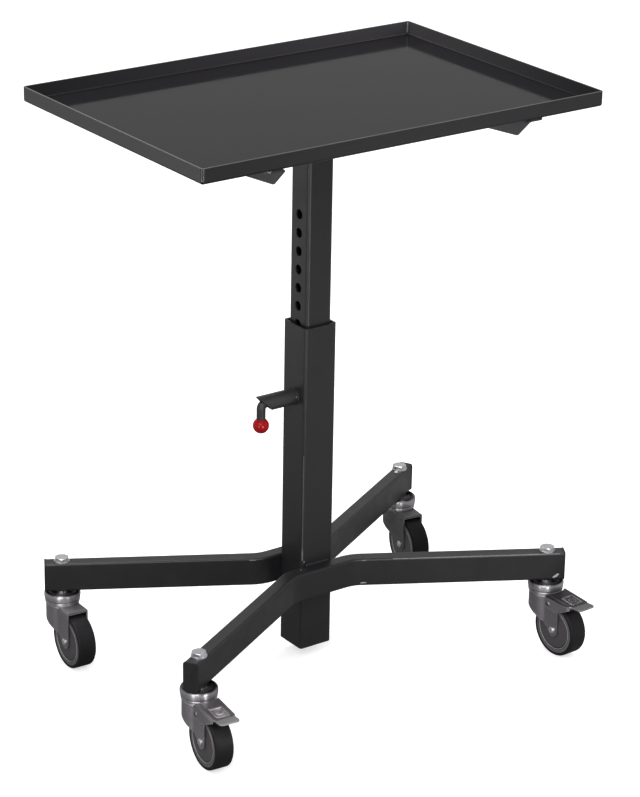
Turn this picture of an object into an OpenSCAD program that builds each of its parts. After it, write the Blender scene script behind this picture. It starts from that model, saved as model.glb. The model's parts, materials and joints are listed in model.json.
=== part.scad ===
// Height-adjustable material stand: a steel tray on a telescopic post and four swivel casters.
// Millimetres. The origin is on the floor under the post, +X runs along the tray's long side,
// +Y runs away from the viewer and +Z is up.

/* [Tray] */
// Outside length of the tray, along X
tray_length = 610; // [560:5:700]
// Outside width of the tray, along Y
tray_width = 410; // [360:5:500]
// Height of the tray from its underside to its rim
tray_depth = 20; // [14:1:40]
// Thickness of the tray sheet
tray_sheet = 2; // [1.5:0.25:3]
// Outside radius of the bends along the tray's bottom edges and corners
tray_bend = 3.5; // [3.5:0.5:6]
// Height of the tray's underside above the floor as shown
tray_under = 771; // [760:1:790]

/* [Tray support] */
// Distance from the middle to the outer face of each cross arm's web
arm_offset = 188; // [120:1:230]
// Thickness of the cross arm sheet
arm_sheet = 3; // [2:0.5:4]
// Width of the cross arm's top flange, with its bend
arm_flange = 27; // [18:1:40]
// Depth of a cross arm at its middle
arm_depth_middle = 41; // [41:0.5:60]
// Depth of a cross arm at its ends
arm_depth_end = 25.5; // [16:0.5:34]
// How far each end of a cross arm stands back from the tray's long edge
arm_inset = 2; // [1:1:50]
// Outside radius of the arm's bend
arm_bend = 5; // [4.5:0.5:8]
// Corner cut off the cross arm's flange
arm_corner = 6; // [2:1:15]
// Height and width of the square beam that joins the two arms
beam_size = 40; // [30:1:40]
// Wall of the joining beam
beam_wall = 2; // [1.5:0.5:4]

/* [Telescopic post] */
// Side of the fixed outer tube
outer_side = 50; // [48:1:60]
// Outside corner radius of the outer tube
outer_corner = 4; // [4:0.5:8]
// Wall of the outer tube
outer_wall = 3; // [2:0.5:4]
// Height of the outer tube's lower end above the floor
outer_bottom = 16.5; // [10:0.5:30]
// Height of the outer tube's upper end above the floor
outer_top = 478; // [470:1:478]
// Side of the sliding inner tube
inner_side = 40; // [36:1:42]
// Outside corner radius of the inner tube
inner_corner = 5; // [4:0.5:5]
// Wall of the inner tube
inner_wall = 3; // [2:0.5:4]
// Length of the inner tube
inner_length = 450; // [445:1:460]
// Clearance on each side between a plastic guide and the tube that slides in or on it
post_clearance = 0.1; // [0.05:0.05:0.1]
// Length of each plastic guide along the post
guide_length = 36; // [20:1:40]
// Spacing of the row of index holes
hole_pitch = 25; // [25:1:25]
// Number of index holes
hole_count = 13; // [13:1:13]
// Number of index holes above the pin as shown
holes_above_pin = 10; // [10:1:10]
// Diameter of an index hole
hole_diameter = 13; // [12.5:0.5:15]

/* [Legs] */
// Distance from the middle to a caster's axis, along X
caster_x = 282.7; // [220:0.1:330]
// Distance from the middle to a caster's axis, along Y
caster_y = 166.7; // [130:0.1:210]
// Width of the leg tube
leg_width = 20; // [20:1:25]
// Height of the leg tube
leg_height = 40; // [40:1:50]
// Wall of the leg tube
leg_wall = 2; // [1.5:0.5:3]
// Outside corner radius of the leg tube
leg_corner = 3; // [3:0.5:4]
// Distance from the middle to the bend of a leg tube
leg_bend_x = 50; // [46:1:70]
// Radius of the bend along the tube's centre line
leg_bend_radius = 50; // [30:1:60]
// Length of tube past the caster's axis
leg_overrun = 21.5; // [20:0.5:40]
// Thickness of the end cap's outer plate
cap_plate = 2; // [1:0.5:4]
// Depth of the end cap's plug inside the tube, which stays clear of the caster bolt
cap_plug = 12; // [6:1:12]

/* [Latch] */
// Height of the locking pin's axis above the floor
pin_height = 377.5; // [365:0.5:377.5]
// Diameter of the bent bar that is both lever and locking pin
bar_diameter = 12; // [11:0.5:12]
// Running clearance round the bar and the collar
fit_clearance = 0.05; // [0.03:0.01:0.1]
// Outside diameter of the guide sleeve
sleeve_diameter = 22; // [21:0.5:24]
// Wall of the guide sleeve
sleeve_wall = 2; // [1.5:0.5:2]
// Distance from the post's axis to the middle of the sleeve's slanted end
sleeve_reach = 72; // [72:1:74]
// Distance from the post's axis to the lever's hanging arm
arm_reach = 76.5; // [76.5:0.5:78]
// Radius of the lever's bend along its centre line
lever_bend = 7; // [7:0.5:13]
// Drop from the pin's axis to the middle of the ball
ball_drop = 30; // [28:1:45]
// Diameter of the ball on the lever
ball_diameter = 21.5; // [20:0.5:25]
// How far the pin reaches inside the outer tube's face
pin_reach = 17; // [15:0.5:17]
// Wire diameter of the spring in the sleeve
spring_wire = 1.6; // [1.2:0.1:1.6]
// Number of coils of the spring
spring_coils = 5; // [4:1:5]

/* [Casters] */
// Overall height of a caster, from the floor to the leg
caster_height = 100; // [98:1:104]
// Diameter of the wheel
wheel_diameter = 75; // [72:1:76]
// Width of the tyre
tyre_width = 25.5; // [20:0.5:25.5]
// Diameter on which the tyre sits
tyre_seat = 66; // [56:1:67]
// Rounding of the tyre's shoulders
tyre_shoulder = 2.5; // [2:0.5:5]
// Distance from the swivel axis to the wheel's axis
trail = 33; // [32:0.5:35]
// Diameter of the swivel head's upper cup
cup_diameter = 49; // [46:1:51]
// Diameter of the pressed fork's head
fork_head = 44.4; // [43:0.2:45]
// Thickness of the fork sheet
fork_sheet = 2; // [1.8:0.1:2.4]
// Outside width of the fork across its two cheeks
fork_width = 31; // [31:0.5:33]
// Distance from the swivel axis to the fork's rear edge
fork_rear = 42; // [40:0.5:44]
// Diameter of the axle sleeve
axle_sleeve_diameter = 14; // [13:0.5:15]
// Diameter of the axle bolt
axle_diameter = 8; // [7:0.5:8]
// Diameter of the bolt that holds a caster
caster_bolt = 12; // [11:0.5:12]

/* [Brake pedals] */
// Distance from the swivel axis to the tip of the pedal
pedal_tip = 84; // [80:1:92]
// Width of the pedal at its tip
pedal_tip_width = 28; // [22:1:29]
// Thickness of the pedal sheet
pedal_sheet = 2; // [1.5:0.5:2]
// Angle that the pedal turns to press on the tyre
pedal_angle = 10; // [8:1:10]

/* [Hidden] */
$fn = 96;
eps = 0.01;
caster_turn = [["near", -1, -1, -95.3], ["right", 1, -1, -87.2], ["left", -1, 1, -92.4],
    ["back", 1, 1, -97.2]];
// Tray and support
tray_top = tray_under + tray_depth;
beam_under = tray_under - beam_size;
inner_bottom = beam_under - inner_length;
arm_length = tray_width - 2 * arm_inset;
arm_vertex = arm_length / 2 - arm_depth_end + arm_sheet;
// Post
outer_cavity = outer_side - 2 * outer_wall;
cavity_corner = max(outer_corner - outer_wall, 0.5);
guide_recess = 2.5;
guide_lift = 2;
// Legs
leg_under = caster_height;
leg_top = leg_under + leg_height;
leg_y = outer_side / 2 + leg_width / 2;
leg_angle = atan((caster_y - leg_y) / (caster_x - leg_bend_x));
bend_tangent = leg_bend_radius * tan(leg_angle / 2);
leg_straight = norm([caster_x - leg_bend_x, caster_y - leg_y]) - bend_tangent + leg_overrun;
bend_swell = 0.04;
bend_overlap = 0.05;
plug_gap = 0.15;
cap_lip = 0.5;
cap_rounding = 3.5;
// Caster bolts
bolt_hole = caster_bolt + 1;
washer_diameter = 21;
washer_thickness = 1.6;
bolt_head_flats = 18;
bolt_head_height = 5;
bolt_tip = caster_height - 19;
// Latch
bar_r = bar_diameter / 2;
sleeve_r = sleeve_diameter / 2;
sleeve_bore = sleeve_r - sleeve_wall;
pin_tip_x = -outer_side / 2 + pin_reach;
pin_chamfer = 1.5;
bend_start = -(arm_reach - lever_bend);
shoulder_gap = 0.1;
shoulder_thickness = 1.5;
shoulder_height = 1;
collar_thickness = 2.4;
shoulder_face = -outer_side / 2 - shoulder_gap;
collar_face = shoulder_face - shoulder_thickness;
collar_back = collar_face - collar_thickness;
bush_thickness = 3;
bush_face = -(sleeve_reach - sleeve_r) + bush_thickness + 0.5;
spring_r = (bar_r + sleeve_bore) / 2;
spring_gap = 0.2;
ball_socket = 8;
// Caster head
wheel_r = wheel_diameter / 2;
fork_top = caster_height - 17;
fork_plate = 3;
plate_under = fork_top - fork_plate;
kingpin_r = 9;
kingpin_flange = 12;
kingpin_flange_thickness = 2.4;
head_play = 0.1;
cup_r = cup_diameter / 2;
cup_top = caster_height - 1.5;
cup_shoulder = 4;
cup_waist = 1.3;
collar_r = 10;
ring_r = cup_r - cup_waist;
ring_lip = 1.6;
ring_race_r = cup_r - 4.4;
ring_race_top = fork_top + 6;
cup_gap = 0.3;
head_r = fork_head / 2;
head_rounding = 3;
cheek_y = fork_width / 2;
cheek_inner = cheek_y - fork_sheet;
cheek_rounding = 3;
neck_r = 8;
nose_lower = caster_height - 36;
boss_r = 9.2;
waist_sag = 3.2;
// Wheel
seat_r = tyre_seat / 2;
rim_r = seat_r - 5.5;
hub_r = axle_sleeve_diameter / 2 + 4;
web_half = 4.5;
hub_half = 11.5;
rim_half = 12.2;
guard_r = rim_r - 1.4;
guard_hole = axle_sleeve_diameter / 2 + 0.5;
axle_head = 9.6;
axle_head_height = 2.4;
axle_nut_height = 3.4;
axle_nut_flats = 13;
// Pedal
pivot_u = 24;
pivot_z = caster_height - 26;
pivot_r = 3;
pivot_head_r = 4.2;
pivot_ear = 6;
pedal_gap = 0.3;
pedal_half = cheek_y + pedal_gap + pedal_sheet;
pedal_root_u = 20;
pedal_root_z = fork_top + 4.6;
pedal_end_u = 68;
pedal_end_z = fork_top + 1.4;
pedal_lip_z = fork_top + 2.4;
pedal_bend = 3.5;
pedal_flange_end = 8;
pedal_fall = atan((pedal_root_z - pedal_end_z) / (pedal_end_u - pedal_root_u));
pedal_notch_r = cup_r + 2;
boss_height = 0.8;
shoe_from = 45;
shoe_to = 58;
shoe_half = 9;
shoe_gap = 0.3;

// Plain outlines

module rounded_rect(w, h, r) {
    square([w - 2 * r, h], center = true);
    square([w, h - 2 * r], center = true);
    for (x = [-1, 1])
        for (y = [-1, 1])
            translate([x * (w / 2 - r), y * (h / 2 - r)])
                circle(r = r);
}

module tube_outline(w, h, r, wall) {
    difference() {
        rounded_rect(w, h, r);
        rounded_rect(w - 2 * wall, h - 2 * wall, max(r - wall, 0.4));
    }
}

module hexagon(flats) {
    r = flats / 2 / cos(30);
    polygon([for (i = [0:5]) [r * cos(60 * i), r * sin(60 * i)]]);
}

// A hexagonal head with the usual chamfered crown, standing on z = 0
module hex_head(flats, height) {
    crown = flats / 2 / cos(30) + 0.1;
    intersection() {
        linear_extrude(height)
            hexagon(flats);
        union() {
            cylinder(r = crown, h = height * 0.75);
            translate([0, 0, height * 0.75])
                cylinder(r1 = crown, r2 = flats / 2 - 0.5, h = height * 0.25);
        }
    }
}

// A solid block with rounded upright corners and rounded bottom edges, open upwards
module pan_block(l, w, h, r) {
    translate([0, 0, r])
        linear_extrude(h - r)
            rounded_rect(l, w, r);
    translate([-l / 2 + r, -w / 2 + r, 0])
        cube([l - 2 * r, w - 2 * r, r + eps]);
    for (y = [-1, 1])
        translate([-l / 2 + r, y * (w / 2 - r), r])
            rotate([0, 90, 0])
                cylinder(r = r, h = l - 2 * r);
    for (x = [-1, 1])
        translate([x * (l / 2 - r), w / 2 - r, r])
            rotate([90, 0, 0])
                cylinder(r = r, h = w - 2 * r);
    for (x = [-1, 1])
        for (y = [-1, 1])
            translate([x * (l / 2 - r), y * (w / 2 - r), r])
                sphere(r = r);
}

// Tray and its support

module tray() {
    color([0.2, 0.2, 0.21])
        translate([0, 0, tray_under])
            difference() {
                pan_block(tray_length, tray_width, tray_depth, tray_bend);
                translate([0, 0, tray_sheet])
                    pan_block(tray_length - 2 * tray_sheet, tray_width - 2 * tray_sheet,
                        tray_depth, tray_bend - tray_sheet);
            }
}

// The folded section of an arm: flange level at the top towards +X, web hanging down at x = 0
module arm_section(depth) {
    translate([0, -depth])
        square([arm_sheet, depth - arm_bend]);
    translate([arm_bend, -arm_sheet])
        square([arm_flange - arm_bend, arm_sheet]);
    intersection() {
        translate([0, -arm_bend])
            square([arm_bend, arm_bend]);
        translate([arm_bend, -arm_bend])
            difference() {
                circle(r = arm_bend);
                circle(r = arm_bend - arm_sheet);
            }
    }
}

// Side view of an arm: level at the top, deepest at the middle, cut at 45 degrees at its ends
module arm_side() {
    end = arm_length / 2 + 1;
    polygon([[-end, 1], [-end, 1 - arm_sheet], [-arm_vertex, -arm_depth_end], [0, -arm_depth_middle],
        [arm_vertex, -arm_depth_end], [end, 1 - arm_sheet], [end, 1]]);
}

// Plan of an arm, with the flange's two outer corners cut off
module arm_plan() {
    end = arm_length / 2 + 1;
    edge = arm_flange + 1;
    step = arm_corner + 2;
    polygon([[-1, -end], [edge - step, -end], [edge, -end + step], [edge, end - step], [edge - step, end],
        [-1, end]]);
}

module cross_arm() {
    translate([arm_offset - arm_sheet, 0, tray_under])
        intersection() {
            rotate([90, 0, 0])
                translate([0, 0, -arm_length / 2])
                    linear_extrude(arm_length)
                        arm_section(arm_depth_middle + 1);
            rotate([90, 0, 90])
                translate([0, 0, -1])
                    linear_extrude(arm_flange + 2)
                        arm_side();
            translate([0, 0, -2 * arm_depth_middle])
                linear_extrude(4 * arm_depth_middle)
                    arm_plan();
        }
}

module arm_right() {
    color([0.2, 0.2, 0.21])
        cross_arm();
}

module arm_left() {
    color([0.2, 0.2, 0.21])
        mirror([1, 0, 0])
            cross_arm();
}

module support_beam() {
    span = arm_offset - arm_sheet;
    color([0.19, 0.19, 0.2])
        translate([-span, 0, beam_under + beam_size / 2])
            rotate([90, 0, 90])
                linear_extrude(2 * span)
                    tube_outline(beam_size, beam_size, beam_wall + 1, beam_wall);
}

// Post

module inner_post() {
    color([0.2, 0.2, 0.21])
        difference() {
            translate([0, 0, inner_bottom])
                linear_extrude(inner_length)
                    tube_outline(inner_side, inner_side, inner_corner, inner_wall);
            for (i = [0:hole_count - 1])
                translate([-inner_side / 2 - 1, 0, pin_height + (holes_above_pin - i) * hole_pitch])
                    rotate([0, 90, 0])
                        cylinder(d = hole_diameter, h = inner_wall + 2);
        }
}

module outer_post() {
    color([0.2, 0.2, 0.21])
        difference() {
            translate([0, 0, outer_bottom])
                linear_extrude(outer_top - outer_bottom)
                    difference() {
                        rounded_rect(outer_side, outer_side, outer_corner);
                        rounded_rect(outer_cavity, outer_cavity, cavity_corner);
                    }
            translate([-outer_side / 2 - 1, 0, pin_height])
                rotate([0, 90, 0])
                    cylinder(r = bar_r + fit_clearance, h = outer_side / 2);
        }
}

// Plastic liner in the mouth of the outer tube, in which the inner tube slides
module upper_guide() {
    color([0.06, 0.06, 0.06])
        translate([0, 0, outer_top - guide_recess - guide_length])
            linear_extrude(guide_length)
                difference() {
                    rounded_rect(outer_cavity, outer_cavity, cavity_corner);
                    rounded_rect(inner_side + 2 * post_clearance, inner_side + 2 * post_clearance,
                        inner_corner + post_clearance);
                }
}

// Plastic shoe round the foot of the inner tube, which slides in the outer tube
module lower_guide() {
    color([0.06, 0.06, 0.06])
        translate([0, 0, inner_bottom + guide_lift])
            linear_extrude(guide_length)
                difference() {
                    rounded_rect(outer_cavity - 2 * post_clearance, outer_cavity - 2 * post_clearance,
                        cavity_corner - post_clearance);
                    rounded_rect(inner_side, inner_side, inner_corner);
                }
}

// Legs: one bent tube in front of the post and the same tube turned round behind it

module leg_profile() {
    tube_outline(leg_width, leg_height, leg_corner, leg_wall);
}

// The bend and the sloping part of a leg tube, on the +X side in front of the post.
// The bend swells a little, as a bent tube does, so the straight parts run into it.
module leg_half() {
    middle = leg_bend_x - bend_tangent;
    translate([middle, -leg_y - leg_bend_radius, leg_under + leg_height / 2])
        rotate([0, 0, 90 - leg_angle]) {
            rotate_extrude(angle = leg_angle)
                translate([leg_bend_radius, 0])
                    tube_outline(leg_width + bend_swell, leg_height + bend_swell, leg_corner,
                        leg_wall + bend_swell);
            translate([leg_bend_radius, bend_overlap, 0])
                rotate([90, 0, 0])
                    linear_extrude(leg_straight + bend_overlap)
                        leg_profile();
        }
}

module caster_hole(x, d) {
    translate([x * caster_x, -caster_y, leg_under - 1])
        cylinder(d = d, h = leg_height + 2);
}

module leg_tube() {
    middle = leg_bend_x - bend_tangent + bend_overlap;
    difference() {
        union() {
            translate([-middle, -leg_y, leg_under + leg_height / 2])
                rotate([90, 0, 90])
                    linear_extrude(2 * middle)
                        leg_profile();
            leg_half();
            mirror([1, 0, 0])
                leg_half();
        }
        caster_hole(1, bolt_hole);
        caster_hole(-1, bolt_hole);
    }
}

module front_leg() {
    color([0.2, 0.2, 0.21])
        leg_tube();
}

module rear_leg() {
    color([0.2, 0.2, 0.21])
        mirror([0, 1, 0])
            leg_tube();
}

module leg_cap() {
    inner_w = leg_width - 2 * leg_wall - 2 * plug_gap;
    inner_h = leg_height - 2 * leg_wall - 2 * plug_gap;
    translate([caster_x, -caster_y, leg_under + leg_height / 2])
        rotate([0, 0, -leg_angle])
            translate([leg_overrun, 0, 0])
                rotate([90, 0, 90]) {
                    linear_extrude(cap_plate)
                        rounded_rect(leg_width + 2 * cap_lip, leg_height + 2 * cap_lip, cap_rounding);
                    translate([0, 0, -cap_plug])
                        linear_extrude(cap_plug)
                            tube_outline(inner_w, inner_h, 2, 1.6);
                }
}

module leg_caps() {
    color([0.08, 0.08, 0.08])
        for (x = [0, 1])
            for (y = [0, 1])
                mirror([x, 0, 0])
                    mirror([0, y, 0])
                        leg_cap();
}

// Caster bolts

module at_casters() {
    for (x = [-1, 1])
        for (y = [-1, 1])
            translate([x * caster_x, y * caster_y, 0])
                children();
}

module caster_washers() {
    color([0.75, 0.76, 0.78])
        at_casters()
            translate([0, 0, leg_top])
                difference() {
                    cylinder(d = washer_diameter, h = washer_thickness);
                    translate([0, 0, -1])
                        cylinder(d = bolt_hole, h = washer_thickness + 2);
                }
}

module caster_bolts() {
    color([0.78, 0.79, 0.8])
        at_casters() {
            translate([0, 0, leg_top + washer_thickness])
                hex_head(bolt_head_flats, bolt_head_height);
            translate([0, 0, bolt_tip])
                cylinder(d = caster_bolt, h = leg_top + washer_thickness - bolt_tip + 1);
        }
}

// Latch: the bent bar turns and slides in a sleeve welded to the post

module along_pin(x) {
    translate([x, 0, pin_height])
        rotate([0, -90, 0])
            children();
}

module latch_sleeve() {
    top = sleeve_reach + sleeve_r;
    color([0.2, 0.2, 0.21])
        difference() {
            along_pin(-outer_side / 2)
                difference() {
                    cylinder(r = sleeve_r, h = top - outer_side / 2);
                    translate([0, 0, -1])
                        cylinder(r = sleeve_bore, h = top);
                }
            translate([-sleeve_reach, 0, pin_height])
                rotate([0, -45, 0])
                    translate([-2 * sleeve_diameter, -sleeve_diameter, -2 * sleeve_diameter])
                        cube([2 * sleeve_diameter, 2 * sleeve_diameter, 4 * sleeve_diameter]);
        }
}

module latch_bush() {
    color([0.75, 0.65, 0.35])
        along_pin(bush_face)
            difference() {
                cylinder(r = sleeve_bore, h = bush_thickness);
                translate([0, 0, -1])
                    cylinder(r = bar_r + fit_clearance, h = bush_thickness + 2);
            }
}

module latch_collar() {
    color([0.72, 0.73, 0.75])
        along_pin(collar_face)
            difference() {
                cylinder(r = sleeve_bore - fit_clearance, h = collar_thickness);
                translate([0, 0, -1])
                    cylinder(r = bar_r + fit_clearance, h = collar_thickness + 2);
            }
}

// The spring is drawn as rings at its pitch, joined by short bars
module latch_spring() {
    room = collar_back - bush_face - spring_wire;
    pitch = room / spring_coils;
    color([0.6, 0.6, 0.62])
        along_pin(collar_back - spring_wire / 2)
            for (i = [0:spring_coils]) {
                translate([0, 0, i * pitch])
                    rotate_extrude()
                        translate([spring_r, 0])
                            circle(d = spring_wire - spring_gap, $fn = 24);
                if (i < spring_coils)
                    rotate([0, 0, i * 180])
                        translate([spring_r, 0, i * pitch])
                            cylinder(d = spring_wire - 2 * spring_gap, h = pitch, $fn = 24);
            }
}

module latch_lever() {
    color([0.22, 0.22, 0.23]) {
        along_pin(pin_tip_x - pin_chamfer)
            cylinder(r = bar_r, h = -bend_start + pin_tip_x - pin_chamfer);
        along_pin(pin_tip_x)
            cylinder(r1 = bar_r - pin_chamfer, r2 = bar_r, h = pin_chamfer);
        along_pin(shoulder_face)
            cylinder(r = bar_r + shoulder_height, h = shoulder_thickness);
        translate([bend_start, 0, pin_height - lever_bend])
            rotate([90, 0, 0])
                rotate([0, 0, 90])
                    rotate_extrude(angle = 90)
                        translate([lever_bend, 0])
                            circle(r = bar_r);
        translate([-arm_reach, 0, pin_height - ball_drop + ball_diameter / 2 - ball_socket])
            cylinder(r = bar_r, h = ball_drop - lever_bend - ball_diameter / 2 + ball_socket);
    }
}

module lever_ball() {
    socket = pin_height - ball_drop + ball_diameter / 2 - ball_socket;
    color([0.75, 0.08, 0.1])
        difference() {
            translate([-arm_reach, 0, pin_height - ball_drop])
                sphere(d = ball_diameter);
            translate([-arm_reach, 0, socket])
                cylinder(r = bar_r, h = ball_diameter);
        }
}

// Casters. Each is drawn with its swivel axis on Z and its wheel trailing towards +X.

module at_caster(i) {
    translate([caster_turn[i][1] * caster_x, caster_turn[i][2] * caster_y, 0])
        rotate([0, 0, caster_turn[i][3]])
            children();
}

module at_axle() {
    translate([trail, 0, wheel_r])
        rotate([-90, 0, 0])
            children();
}

// Upper cup and kingpin, one pressed and riveted piece, with a thread for the caster bolt.
// A bead runs round the cup's top and the wall under it is a little narrower.
module caster_cup() {
    skirt = fork_top + ring_lip + 0.2;
    color([0.76, 0.77, 0.79])
        difference() {
            union() {
                difference() {
                    rotate_extrude() {
                        square_from_axis(cup_r - cup_waist, skirt, cup_top - cup_shoulder);
                        square_from_axis(cup_r - cup_shoulder, skirt, cup_top);
                        translate([cup_r - cup_shoulder, cup_top - cup_shoulder])
                            circle(r = cup_shoulder);
                    }
                    translate([0, 0, skirt - 1])
                        cylinder(r = ring_race_r + cup_gap, h = ring_race_top + cup_gap - skirt + 1);
                }
                translate([0, 0, plate_under - head_play - kingpin_flange_thickness])
                    cylinder(r = kingpin_r, h = cup_top - plate_under + kingpin_flange_thickness);
                translate([0, 0, plate_under - head_play - kingpin_flange_thickness])
                    cylinder(r = kingpin_flange, h = kingpin_flange_thickness);
                translate([0, 0, cup_top - eps])
                    cylinder(r = collar_r, h = caster_height - cup_top + eps);
            }
            translate([0, 0, plate_under - 10])
                cylinder(d = caster_bolt, h = caster_height);
        }
}

module square_from_axis(r, z1, z2) {
    translate([0, z1])
        square([r, z2 - z1]);
}

// Raised race that lies on the fork and runs inside the cup
module caster_ring() {
    color([0.82, 0.83, 0.85])
        difference() {
            union() {
                translate([0, 0, fork_top])
                    cylinder(r = ring_r, h = ring_lip);
                translate([0, 0, fork_top])
                    cylinder(r = ring_race_r, h = ring_race_top - fork_top);
            }
            translate([0, 0, fork_top - 1])
                cylinder(r = kingpin_r + 0.5, h = ring_race_top - fork_top + 2);
        }
}

// Side view of the fork: nose, waist and axle boss
module fork_side() {
    waist_r = fork_waist_radius();
    a = [-head_r - 1, nose_lower];
    b = [trail - boss_r, wheel_r + 0.5];
    m = (a + b) / 2;
    along = (b - a) / norm(b - a);
    away = [along[1], -along[0]];
    difference() {
        union() {
            polygon([[-head_r - 1, fork_top + 1], a, b, [trail - boss_r, wheel_r], [fork_rear, wheel_r],
                [fork_rear, fork_top + 1]]);
            translate([trail, wheel_r])
                circle(r = boss_r);
        }
        translate(m + away * (waist_r - waist_sag))
            circle(r = waist_r, $fn = 360);
        translate([fork_rear, 0])
            square([20, caster_height]);
    }
}

function fork_waist_radius() =
    let (half = norm([head_r + 1 + trail - boss_r, nose_lower - wheel_r - 0.5]) / 2 - 4)
    (half * half + waist_sag * waist_sag) / (2 * waist_sag);

// Pressed fork: round nose under the head, flat cheeks at the wheel
module caster_fork(braked) {
    join_u = sqrt(head_r * head_r - cheek_y * cheek_y);
    color([0.5, 0.5, 0.52])
        difference() {
            intersection() {
                union() {
                    difference() {
                        union() {
                            rotate_extrude() {
                                square_from_axis(head_r, wheel_r, fork_top - head_rounding);
                                square_from_axis(head_r - head_rounding, wheel_r, fork_top);
                                translate([head_r - head_rounding, fork_top - head_rounding])
                                    circle(r = head_rounding);
                            }
                            translate([0, 0, wheel_r])
                                linear_extrude(fork_top - head_rounding - wheel_r)
                                    fork_neck();
                        }
                        cylinder(r = head_r - fork_sheet, h = plate_under);
                        translate([0, -cheek_inner, 0])
                            cube([caster_height, 2 * cheek_inner, plate_under]);
                    }
                    rotate([90, 0, 90])
                        translate([0, 0, join_u - fork_sheet])
                            linear_extrude(fork_rear - join_u + fork_sheet)
                                fork_channel();
                }
                rotate([90, 0, 0])
                    translate([0, 0, -cup_r])
                        linear_extrude(2 * cup_r)
                            fork_side();
            }
            translate([0, 0, plate_under - 1])
                cylinder(r = kingpin_r + fit_clearance, h = fork_plate + 2);
            at_axle()
                translate([0, 0, -cheek_y - 1])
                    cylinder(d = axle_diameter + 0.2, h = fork_width + 2);
            if (braked) {
                translate([head_r + 0.3, -cheek_y - 1, pivot_z + 4])
                    cube([caster_height, fork_width + 2, caster_height]);
                translate([pivot_u, 0, pivot_z])
                    rotate([90, 0, 0])
                        cylinder(r = pivot_r, h = fork_width + 2, center = true);
            }
        }
}

// Plan of the hollow curve that leads from the round head into the flat cheeks
module fork_neck() {
    centre_y = cheek_y + neck_r;
    centre_u = sqrt((head_r + neck_r) * (head_r + neck_r) - centre_y * centre_y);
    for (s = [-1, 1])
        difference() {
            polygon([[0, 0], [centre_u, s * centre_y], [centre_u, 0]]);
            translate([centre_u, s * centre_y])
                circle(r = neck_r);
        }
}

// The fork's cross-section behind the head: a top plate with two cheeks
module fork_channel() {
    difference() {
        union() {
            translate([-cheek_y, 0])
                square([fork_width, fork_top - cheek_rounding]);
            translate([-cheek_y + cheek_rounding, 0])
                square([fork_width - 2 * cheek_rounding, fork_top]);
            for (y = [-1, 1])
                translate([y * (cheek_y - cheek_rounding), fork_top - cheek_rounding])
                    circle(r = cheek_rounding);
        }
        translate([-cheek_inner, -1])
            square([2 * cheek_inner, plate_under - 1 + 1]);
    }
}

module caster_axle() {
    color([0.8, 0.81, 0.83])
        at_axle() {
            translate([0, 0, -cheek_y - 1])
                cylinder(d = axle_diameter, h = fork_width + axle_nut_height + 2);
            translate([0, 0, cheek_y])
                hex_head(axle_nut_flats, axle_nut_height);
            translate([0, 0, -cheek_y])
                mirror([0, 0, 1]) {
                    cylinder(d = axle_head, h = axle_head_height / 2);
                    translate([0, 0, axle_head_height / 2])
                        cylinder(d1 = axle_head, d2 = axle_head - 3, h = axle_head_height / 2);
                }
        }
}

module caster_sleeve() {
    color([0.6, 0.61, 0.63])
        at_axle()
            difference() {
                cylinder(d = axle_sleeve_diameter, h = 2 * cheek_inner, center = true);
                cylinder(d = axle_diameter, h = fork_width, center = true);
            }
}

module wheel_core() {
    color([0.36, 0.36, 0.37])
        at_axle()
            difference() {
                rotate_extrude() {
                    translate([0, -hub_half])
                        square([hub_r, 2 * hub_half]);
                    translate([0, -web_half])
                        square([seat_r - 1, 2 * web_half]);
                    translate([rim_r, -rim_half])
                        square([seat_r - rim_r, 2 * rim_half]);
                }
                cylinder(d = axle_sleeve_diameter + 2 * fit_clearance, h = fork_width, center = true);
            }
}

module wheel_tyre() {
    color([0.1, 0.1, 0.1])
        at_axle()
            rotate_extrude()
                difference() {
                    translate([wheel_r / 2, 0])
                        rounded_rect(wheel_r, tyre_width, tyre_shoulder);
                    translate([0, -tyre_width])
                        square([seat_r, 2 * tyre_width]);
                }
}

module guard_disc() {
    rotate_extrude()
        polygon([[guard_hole, hub_half], [hub_r, hub_half], [guard_r, rim_half - 1.8],
            [guard_r, rim_half - 0.6], [guard_r - 1, rim_half - 0.2], [hub_r + 3, hub_half + 0.6],
            [hub_r + 1, hub_half + 1.1], [guard_hole, hub_half + 1.1]]);
}

module wheel_guards() {
    color([0.3, 0.3, 0.31])
        at_axle() {
            guard_disc();
            mirror([0, 0, 1])
                guard_disc();
        }
}

// Brake pedal: a pressed channel that straddles the fork and turns on a rivet through both cheeks

// Cross-section of the channel, with its top at z = 0
module pedal_section(inset) {
    half = pedal_half - inset;
    bend = pedal_bend - inset;
    drop = pedal_root_z;
    translate([-half, -drop])
        square([2 * half, drop - pedal_bend]);
    translate([-half + bend, -drop])
        square([2 * (half - bend), drop - inset]);
    for (y = [-1, 1])
        translate([y * (half - bend), -pedal_bend])
            circle(r = bend);
}

// The channel, which falls towards the tip
module pedal_channel() {
    translate([pedal_root_u, 0, pedal_root_z])
        rotate([0, pedal_fall, 0])
            translate([-10, 0, 0])
                rotate([90, 0, 90])
                    linear_extrude(pedal_end_u)
                        difference() {
                            pedal_section(0);
                            difference() {
                                pedal_section(pedal_sheet);
                                translate([-pedal_half, -pedal_sheet])
                                    square([2 * pedal_half, pedal_sheet]);
                            }
                        }
}

// Side view of the channel, with a round ear at the rivet
module pedal_side() {
    high = pedal_root_z + 5;
    translate([pivot_u, pivot_z])
        circle(r = pivot_ear);
    polygon([[pivot_u - pivot_ear, pivot_z], [pivot_u - pivot_ear + 1, high], [pedal_end_u, high],
        [pedal_end_u, pedal_end_z - 4], [pedal_end_u - 3, pivot_z + 4.6], [46, pivot_z - 5.6],
        [36, pivot_z - 7.5], [pivot_u, pivot_z - pivot_ear]]);
}

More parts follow.
